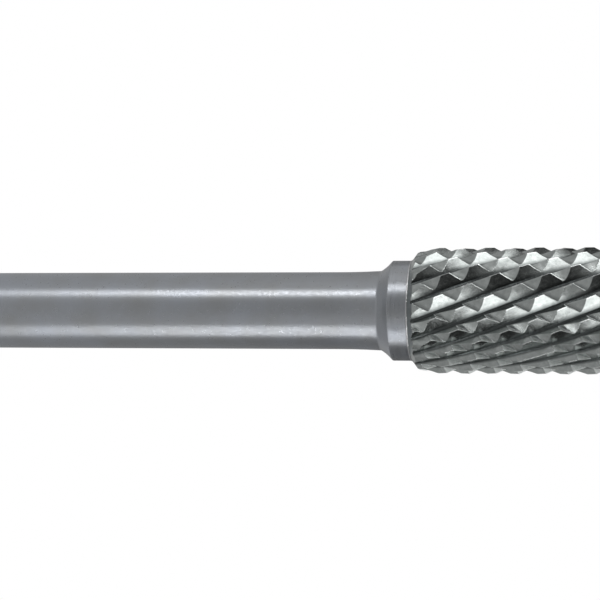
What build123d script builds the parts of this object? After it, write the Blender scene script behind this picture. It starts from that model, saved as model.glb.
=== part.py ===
from build123d import *
import os
from math import atan, cos, degrees, pi, radians, sin, tan

# A cylindrical carbide burr with a cross-cut head, standing on the plain end of its head.
# The shank's axis is +Z, the head's end face is z = 0, and every size is in millimetres.

# Head: a solid carbide cylinder, ground with two crossing sets of helical flutes.
head_diameter = 9.7
head_length = 19.0
end_chamfer = 0.3            # round the plain end
rear_face_diameter = 7.9     # the flat ring that meets the shank
rear_chamfer_height = 0.45
rear_taper_height = 1.6      # a shallow lead-in taper, ahead of the chamfer
rear_taper_depth = 0.3

# Main flutes: the teeth's backs fall one way round, and their rake faces are steep.
flute_count = 19
flute_lead = 73.2            # axial length of one whole turn, left-handed
flute_depth = 0.5
flute_land = 0.03            # widths are measured square to the flute
flute_root = 0.18
flute_rake_run = 0.31
flute_root_angle = 10.4      # where a root's middle lies at z = 0

# Cross cuts: shallower flutes of the other hand, which break each tooth's edge.
cross_count = 15
cross_lead = 56.4            # right-handed
cross_depth = 0.42
cross_back = 1.08
cross_root = 0.08
cross_wall_run = 0.07
cross_root_angle = 15.3

# Shank: a ground steel rod with a collar that backs the head.
shank_diameter = 6.0
shank_length = 45.0          # from the braze to the free end
shank_end_chamfer = 0.5
collar_step = 0.075          # how far its wall stands inside the head's rear face
collar_length = 1.45
collar_edge_round = 0.12
collar_slope = 41.0          # degrees between the collar's cone and the axis
collar_hollow = 0.05         # how far the cone is dished
neck_swell = 0.09            # how far the flare's wide end stands out of the shank
neck_round = 0.3
flare_length = 3.2           # the flare runs out softly into the shank

# Braze: the thin silver seam that joins the head to the collar.
braze_thickness = 0.12
braze_bulge = 0.05           # how far its rim stands out of the collar

cutter_overshoot = 1.0       # how far a grinding cutter's section stands out of the blank

head_radius = head_diameter / 2
rear_chamfer_start = head_length - rear_chamfer_height
taper_overrun = cutter_overshoot * rear_taper_height / rear_taper_depth
shank_radius = shank_diameter / 2
collar_radius = rear_face_diameter / 2 - collar_step
neck_radius = shank_radius + neck_swell
collar_base = head_length + braze_thickness
collar_top = collar_base + collar_length
neck_base = collar_top + (collar_radius - neck_radius) / tan(radians(collar_slope))
shank_top = collar_base + shank_length


def polar(radius, angle):
    """A point in the plane of the section, with its angle in degrees."""
    return radius * cos(radians(angle)), radius * sin(radians(angle))


def arc_of(width, lead):
    """The angle at the head's surface of a width measured square to a helix of this lead."""
    helix = atan(2 * pi * head_radius / lead)
    return degrees(width / cos(helix) / head_radius)


def flute_section(root_angle, depth, wall, root, back):
    """One flute's outline: down the wall, along the root, up the tooth's back, and out of the blank."""
    outside = head_radius + cutter_overshoot
    floor = head_radius - depth
    wall_top = root_angle - root / 2 - wall
    back_top = root_angle + root / 2 + back
    return [
        polar(outside, wall_top),
        polar(head_radius, wall_top),
        polar(floor, root_angle - root / 2),
        polar(floor, root_angle + root / 2),
        polar(head_radius, back_top),
        polar(outside, back_top),
    ]


# The main flutes' section: all the teeth at once, as seen along the axis.
flute_pitch = 360 / flute_count
wall_arc = arc_of(flute_rake_run, flute_lead)
root_arc = arc_of(flute_root, flute_lead)
back_arc = flute_pitch - wall_arc - root_arc - arc_of(flute_land, flute_lead)
with BuildSketch() as fluted_section:
    Circle(head_radius)
    with PolarLocations(0, flute_count):
        Polygon(
            *flute_section(flute_root_angle, flute_depth, wall_arc, root_arc, back_arc),
            align=None,
            mode=Mode.SUBTRACT,
        )
fluted_bar = Solid.extrude_linear_with_rotation(
    fluted_section.sketch.face(), (0, 0, 0), (0, 0, head_length), -360 * head_length / flute_lead
)

# One cross cut, as the wheel sweeps it along its own helix.
cross_arcs = [arc_of(width, cross_lead) for width in (cross_wall_run, cross_root, cross_back)]
with BuildSketch() as cross_section:
    Polygon(*flute_section(cross_root_angle, cross_depth, *cross_arcs), align=None)
cross_cut = Solid.extrude_linear_with_rotation(
    cross_section.sketch.face(), (0, 0, 0), (0, 0, head_length), 360 * head_length / cross_lead
)

with BuildPart() as carbide_head:
    add(fluted_bar)
    with PolarLocations(0, cross_count):
        add(cross_cut, mode=Mode.SUBTRACT)
    # Both ends are turned to their chamfers after the flutes are ground.
    with BuildSketch(Plane.XZ) as turned_off:
        with BuildLine():
            Polyline(
                (rear_face_diameter / 2, head_length),
                (head_radius - rear_taper_depth, rear_chamfer_start),
                (head_radius + cutter_overshoot, rear_chamfer_start - rear_taper_height - taper_overrun),
                (head_radius + cutter_overshoot, head_length + cutter_overshoot),
                (rear_face_diameter / 2, head_length + cutter_overshoot),
                close=True,
            )
        make_face()
        with BuildLine():
            Polyline(
                (head_radius - end_chamfer, 0),
                (head_radius + cutter_overshoot, end_chamfer + cutter_overshoot),
                (head_radius + cutter_overshoot, -cutter_overshoot),
                (head_radius - end_chamfer, -cutter_overshoot),
                close=True,
            )
        make_face()
    revolve(axis=Axis.Z, mode=Mode.SUBTRACT)
carbide_head.part.label = "carbide_head"

with BuildPart() as braze_seam:
    with BuildSketch(Plane.XZ) as seam_profile:
        with BuildLine():
            Polyline(
                (collar_radius, head_length),
                (0, head_length),
                (0, collar_base),
                (collar_radius, collar_base),
            )
            ThreePointArc(
                (collar_radius, collar_base),
                (collar_radius + braze_bulge, head_length + braze_thickness / 2),
                (collar_radius, head_length),
            )
        make_face()
    revolve(axis=Axis.Z)
braze_seam.part.label = "braze_seam"

with BuildPart() as steel_shank:
    with BuildSketch(Plane.XZ) as shank_profile:
        with BuildLine():
            flare = TangentArc(
                (shank_radius, neck_base + flare_length),
                (neck_radius, neck_base),
                tangent=(0, -1),
            )
            SagittaArc((collar_radius, collar_top), flare @ 1, collar_hollow)
            Polyline(
                (collar_radius, collar_top),
                (collar_radius, collar_base),
                (0, collar_base),
                (0, shank_top),
                (shank_radius - shank_end_chamfer, shank_top),
                (shank_radius, shank_top - shank_end_chamfer),
                flare @ 0,
            )
        make_face()
        fillet(shank_profile.vertices().sort_by_distance((neck_radius, neck_base))[0], neck_round)
        fillet(shank_profile.vertices().sort_by_distance((collar_radius, collar_top))[0], collar_edge_round)
    revolve(axis=Axis.Z)
steel_shank.part.label = "steel_shank"

os.makedirs("parts", exist_ok=True)
export_step(carbide_head.part, "parts/carbide_head.step")
export_step(braze_seam.part, "parts/braze_seam.step")
export_step(steel_shank.part, "parts/steel_shank.step")
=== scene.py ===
import math

import bpy
from mathutils import Matrix, Vector

# A carbide burr on a plain pale floor. The burr stands on its head, so the camera is rolled a quarter turn.
# The script's lengths are in metres, and mm turns a size in millimetres into them.
mm = 0.001

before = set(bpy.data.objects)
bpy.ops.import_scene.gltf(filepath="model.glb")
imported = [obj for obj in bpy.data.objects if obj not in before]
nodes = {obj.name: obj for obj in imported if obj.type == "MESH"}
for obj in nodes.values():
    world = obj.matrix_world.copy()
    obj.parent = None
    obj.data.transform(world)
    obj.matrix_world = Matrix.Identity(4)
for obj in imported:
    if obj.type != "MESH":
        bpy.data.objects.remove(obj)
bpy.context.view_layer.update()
scene = bpy.context.scene

# Camera
camera_aim = Vector((0.83, 0.0, 27.97)) * mm
camera_distance = 165 * mm
camera_tilt = 10.9              # degrees: the camera looks a little from the head's end
camera_field = 16.19            # degrees
camera_clip_start = 0.005
camera_clip_end = 10

# Light. The lamps and cards are placed by the angle at which the middle of the head sees them.
head_middle = 10 * mm
floor_radius = 84 * mm
world_strength = 0.45
card_radius = 1.2
inner_card_radius = 0.98 * card_radius      # partial cards stand in front of the full ones
card_steps = 48
card_top = 45
top_grey = 0.33
cards = (
    # name, start and end round the burr, lowest and highest angle over the horizon, brightness
    ("upper_card", -180, 180, 7.5, card_top, 0.40),
    ("lower_card", -180, 180, -42, 7.5, 0.03),
    ("back_card", -180, -88, 4, 8.5, 0.04),
    ("back_upper_card", -180, -88, 8.5, 24, 0.30),
    ("left_card", 28, 45, -35, -10, 0.22),
    ("right_card", -28, -5, -35, -2, 0.25),
    ("middle_card", -88, 71, -3, 7.6, 0.14),
    ("over_card", 76, 128, -4, 6.5, 0.7),
)
lamps = (
    # name, start and end round the burr, lowest and highest angle, distance, radiance
    ("key_low", 38, 75, -36, -13, 0.25, 2.1),
    ("key_high", 50, 89, -13, -1, 0.25, 2.1),
    ("fill_low", -82, -28, -36, -13, 0.25, 2.0),
    ("fill_high", -57, -16, -13, -3, 0.25, 2.0),
    ("rim", 40, 112, -46, -26, 0.25, 4.0),
    ("key_shank", 47, 61, 11, 14.5, 0.8, 11),
    ("fill_shank", -80, -48, 11, 14.5, 0.8, 5.4),
)

# A Mix node has one pair of inputs for numbers and another for colours.
first_number, second_number = 2, 3
first_color, second_color, mixed_color = 6, 7, 2


def rgb(r, g, b):
    return (r, g, b, 1.0)


def shader(name, metallic=1.0):
    """A new material, its node tree and its shader."""
    material = bpy.data.materials.new(name)
    material.use_nodes = True
    tree = material.node_tree
    bsdf = tree.nodes["Principled BSDF"]
    bsdf.inputs["Metallic"].default_value = metallic
    return material, tree, bsdf


def node(tree, kind, inputs=None, **settings):
    """A new shader node. Each of its inputs takes a plain value, or another node's output as a link."""
    made = tree.nodes.new("ShaderNode" + kind)
    for name, value in settings.items():
        setattr(made, name, value)
    for name, value in (inputs or {}).items():
        if isinstance(value, bpy.types.NodeSocket):
            tree.links.new(value, made.inputs[name])
        else:
            made.inputs[name].default_value = value
    return made


def link(tree, output, socket):
    tree.links.new(output, socket)


def noise(tree, vector, size, detail):
    """Noise whose blotches are about this size, as a number near 0.5."""
    inputs = {"Vector": vector, "Scale": 1 / size, "Detail": detail, "Roughness": 0.5}
    return node(tree, "TexNoise", inputs, noise_dimensions="3D").outputs["Fac"]


def between(tree, value, low, high, start=0.3, end=0.7):
    """The value, spread from start..end to low..high."""
    inputs = {"Value": value, "From Min": start, "From Max": end, "To Min": low, "To Max": high}
    return node(tree, "MapRange", inputs).outputs["Result"]


def blend(tree, factor, first, second):
    """A colour between two."""
    inputs = {"Factor": factor, first_color: first, second_color: second}
    return node(tree, "Mix", inputs, data_type="RGBA").outputs[mixed_color]


def blend_numbers(tree, factor, first, second):
    inputs = {"Factor": factor, first_number: first, second_number: second}
    return node(tree, "Mix", inputs, data_type="FLOAT").outputs["Result"]


def calculate(tree, operation, *values):
    return node(tree, "Math", dict(enumerate(values)), operation=operation).outputs["Value"]


def height_of(tree, vector):
    return node(tree, "SeparateXYZ", {"Vector": vector}).outputs["Z"]


def raised(tree, height, strength, distance, normal=None):
    """A bump from a height, on top of another normal."""
    inputs = {"Height": height, "Strength": strength, "Distance": distance}
    if normal:
        inputs["Normal"] = normal
    return node(tree, "Bump", inputs).outputs["Normal"]


def dress(obj, material):
    obj.data.materials.clear()
    obj.data.materials.append(material)


# Carbide: dark and hard, with a fine sintered grain and edges just off sharp. Its tooth crests and the
# walls of its cross cuts carry a painted highlight, its flute roots a painted shade, and the cross walls
# are rougher.
grain_size = 0.25 * mm
blotch_size = 0.4 * mm
ground_dark = rgb(0.42, 0.45, 0.44)
ground_light = rgb(0.54, 0.57, 0.56)
# painted highlight: the tooth crests and the walls of the cross cuts are coloured near white for the
# reflections they catch
crest_painted_highlight_color = rgb(0.85, 0.88, 0.87)
# painted shade: the flute roots are coloured near black where the grooves fall into shade
root_painted_shade_color = rgb(0.09, 0.10, 0.10)
root_shade_radii = (4.34 * mm, 4.50 * mm)         # the painted shade in the roots fades out between these
crest_highlight_radii = (4.80 * mm, 4.845 * mm)       # the crests' painted highlight comes in between these
wall_slopes = (0.40, 0.45)                  # cross walls face along the axis more than the flutes do
end_slopes = (0.55, 0.65)                   # and less than the flat ends do
polished_roughness = (0.17, 0.25)
wall_roughness = 0.55
edge_radius = 0.055 * mm

carbide, tree, bsdf = shader("carbide")
place = node(tree, "TexCoord").outputs["Object"]
grain = noise(tree, place, grain_size, 2)
blotch = noise(tree, place, blotch_size, 4)
across = node(tree, "VectorMath", {0: place, 1: (1, 1, 0)}, operation="MULTIPLY").outputs["Vector"]
radius = node(tree, "VectorMath", {0: across}, operation="LENGTH").outputs["Value"]
slope = calculate(tree, "ABSOLUTE", height_of(tree, node(tree, "NewGeometry").outputs["True Normal"]))
wall_or_end = between(tree, slope, 0, 1, *wall_slopes)
wall = calculate(tree, "MULTIPLY", wall_or_end, between(tree, slope, 1, 0, *end_slopes))
# painted shade in the flute roots by radius, kept off the cross walls and the flat ends
outside_painted_root_shade = calculate(tree, "MAXIMUM", between(tree, radius, 0, 1, *root_shade_radii), wall_or_end)
# painted highlight on the crests by radius and on the cross walls
painted_highlight_mask = calculate(tree, "MAXIMUM", between(tree, radius, 0, 1, *crest_highlight_radii), wall)
ground = blend(tree, between(tree, blotch, 0, 1), ground_dark, ground_light)
with_painted_highlight = blend(tree, painted_highlight_mask, ground, crest_painted_highlight_color)
link(tree, blend(tree, outside_painted_root_shade, root_painted_shade_color, with_painted_highlight), bsdf.inputs["Base Color"])
polish = between(tree, grain, *polished_roughness)
link(tree, blend_numbers(tree, wall, polish, wall_roughness), bsdf.inputs["Roughness"])
edges = node(tree, "Bevel", {"Radius": edge_radius}, samples=8).outputs["Normal"]
pitted = raised(tree, grain, 0.06, 0.01 * mm, edges)
link(tree, raised(tree, blotch, 0.15, 0.02 * mm, pitted), bsdf.inputs["Normal"])
dress(nodes["carbide_head"], carbide)

# Steel: turned and ground, with fine lines round it that spread each highlight along the axis
satin_size = 0.22 * mm
line_size = 0.12 * mm
line_stretch = (0.03, 0.03, 1)              # the lines run round the shank
tint_size = 3 * mm
tint_dark = rgb(0.47, 0.485, 0.50)
tint_light = rgb(0.52, 0.55, 0.60)
steel_roughness = (0.27, 0.35)
collar_heights = (20.8 * mm, 21.8 * mm)     # the lines are deep on the collar and fade out over the cone
line_strengths = (1.0, 0.3)

steel, tree, bsdf = shader("steel")
bsdf.inputs["Anisotropic"].default_value = 0.3
bsdf.inputs["Anisotropic Rotation"].default_value = 0.25
round_axis = node(tree, "Tangent", direction_type="RADIAL", axis="Z").outputs["Tangent"]
link(tree, round_axis, bsdf.inputs["Tangent"])
place = node(tree, "TexCoord").outputs["Object"]
satin = noise(tree, place, satin_size, 3)
stretched = node(tree, "Mapping", {"Vector": place, "Scale": line_stretch}).outputs["Vector"]
lines = noise(tree, stretched, line_size, 3)
tint = noise(tree, place, tint_size, 2)
link(tree, blend(tree, between(tree, tint, 0, 1), tint_dark, tint_light), bsdf.inputs["Base Color"])
link(tree, between(tree, satin, *steel_roughness), bsdf.inputs["Roughness"])
line_strength = between(tree, height_of(tree, place), *line_strengths, *collar_heights)
turned = raised(tree, lines, line_strength, 0.014 * mm)
link(tree, raised(tree, satin, 0.3, 0.008 * mm, turned), bsdf.inputs["Normal"])
dress(nodes["steel_shank"], steel)

# Braze: silver that has run out of the seam in small uneven beads
bead_size = 0.28 * mm
silver_dark = rgb(0.72, 0.72, 0.73)
silver_light = rgb(0.95, 0.95, 0.96)
bead_roughness = (0.42, 0.22)

braze, tree, bsdf = shader("braze")
place = node(tree, "TexCoord").outputs["Object"]
beads = noise(tree, place, bead_size, 2)
link(tree, blend(tree, between(tree, beads, 0, 1), silver_dark, silver_light), bsdf.inputs["Base Color"])
link(tree, between(tree, beads, *bead_roughness), bsdf.inputs["Roughness"])
link(tree, raised(tree, beads, 0.8, 0.05 * mm), bsdf.inputs["Normal"])
dress(nodes["braze_seam"], braze)

# Floor
bpy.ops.mesh.primitive_circle_add(vertices=128, radius=floor_radius, fill_type="NGON")
floor = bpy.context.object
floor.name = "floor"
paper, tree, bsdf = shader("paper", metallic=0.0)
bsdf.inputs["Base Color"].default_value = rgb(0.9, 0.9, 0.9)
bsdf.inputs["Roughness"].default_value = 0.9
dress(floor, paper)
floor.visible_glossy = False

# World: a plain white background, for the camera and in every reflection that no card blocks
world = bpy.data.worlds.new("studio")
world.use_nodes = True
scene.world = world
tree = world.node_tree
daylight = tree.nodes["Background"]
daylight.inputs["Color"].default_value = rgb(1, 1, 1)
daylight.inputs["Strength"].default_value = world_strength
white = node(tree, "Background", {"Color": rgb(1, 1, 1), "Strength": 1.0})
rays = node(tree, "LightPath").outputs
seen = calculate(tree, "MAXIMUM", rays["Is Camera Ray"], rays["Is Glossy Ray"])
seen = calculate(tree, "MAXIMUM", seen, rays["Is Transmission Ray"])
background = node(tree, "MixShader", {0: seen, 1: daylight.outputs[0], 2: white.outputs[0]})
link(tree, background.outputs[0], tree.nodes["World Output"].inputs["Surface"])


def at_angle(turn, height_angle, distance):
    """The point seen from the head's middle at these angles in degrees, this far from the axis."""
    turn = math.radians(turn)
    height = head_middle + distance * math.tan(math.radians(height_angle))
    return Vector((distance * math.sin(turn), -distance * math.cos(turn), height))


def grey(obj, brightness):
    """Give this an even glow that only the metal's reflections see."""
    material = bpy.data.materials.new(obj.name)
    material.use_nodes = True
    tree = material.node_tree
    tree.nodes.clear()
    glow = node(tree, "Emission", {"Color": rgb(brightness, brightness, brightness)})
    node(tree, "OutputMaterial", {"Surface": glow.outputs[0]})
    dress(obj, material)
    obj.visible_camera = False
    obj.visible_diffuse = False
    obj.visible_shadow = False


def card(name, start, end, low, high, brightness):
    """A curved grey card round the burr, as part of the dim room that its metal mirrors."""
    distance = card_radius if end - start > 180 else inner_card_radius
    turns = [start + (end - start) * i / card_steps for i in range(card_steps + 1)]
    points = [at_angle(turn, angle, distance) for turn in turns for angle in (low, high)]
    faces = [(i, i + 2, i + 3, i + 1) for i in range(0, 2 * card_steps, 2)]
    mesh = bpy.data.meshes.new(name)
    mesh.from_pydata(points, [], faces)
    obj = bpy.data.objects.new(name, mesh)
    scene.collection.objects.link(obj)
    grey(obj, brightness)


def area_lamp(name, start, end, low, high, distance, radiance):
    """A soft box that faces the burr's axis."""
    turn = (start + end) / 2
    bottom = at_angle(turn, low, distance)
    top = at_angle(turn, high, distance)
    width = 2 * distance * math.tan(math.radians(end - start) / 2)
    height = top.z - bottom.z
    data = bpy.data.lights.new(name, "AREA")
    data.shape = "RECTANGLE"
    data.size = width
    data.size_y = height
    data.energy = radiance * width * height * math.pi
    lamp = bpy.data.objects.new(name, data)
    scene.collection.objects.link(lamp)
    lamp.location = (bottom + top) / 2
    inward = Vector((-lamp.location.x, -lamp.location.y, 0))
    lamp.rotation_mode = "QUATERNION"
    lamp.rotation_quaternion = inward.to_track_quat("-Z", "Y")
    lamp.visible_camera = False


for settings in cards:
    card(*settings)
ceiling = (0, 0, at_angle(0, card_top, card_radius).z)
bpy.ops.mesh.primitive_circle_add(vertices=64, radius=card_radius, fill_type="NGON", location=ceiling)
bpy.context.object.name = "top_card"
grey(bpy.context.object, top_grey)
for settings in lamps:
    area_lamp(*settings)

# Camera
tilt = math.radians(camera_tilt)
back = Vector((0, -math.cos(tilt), -math.sin(tilt)))
up = Vector((1, 0, 0))
right = up.cross(back)
turned_so = Matrix((right, up, back)).transposed().to_4x4()
camera_data = bpy.data.cameras.new("camera")
camera_data.angle = math.radians(camera_field)
camera_data.clip_start = camera_clip_start
camera_data.clip_end = camera_clip_end
camera = bpy.data.objects.new("camera", camera_data)
scene.collection.objects.link(camera)
camera.matrix_world = Matrix.Translation(camera_aim + back * camera_distance) @ turned_so
scene.camera = camera

scene.view_settings.view_transform = "Standard"
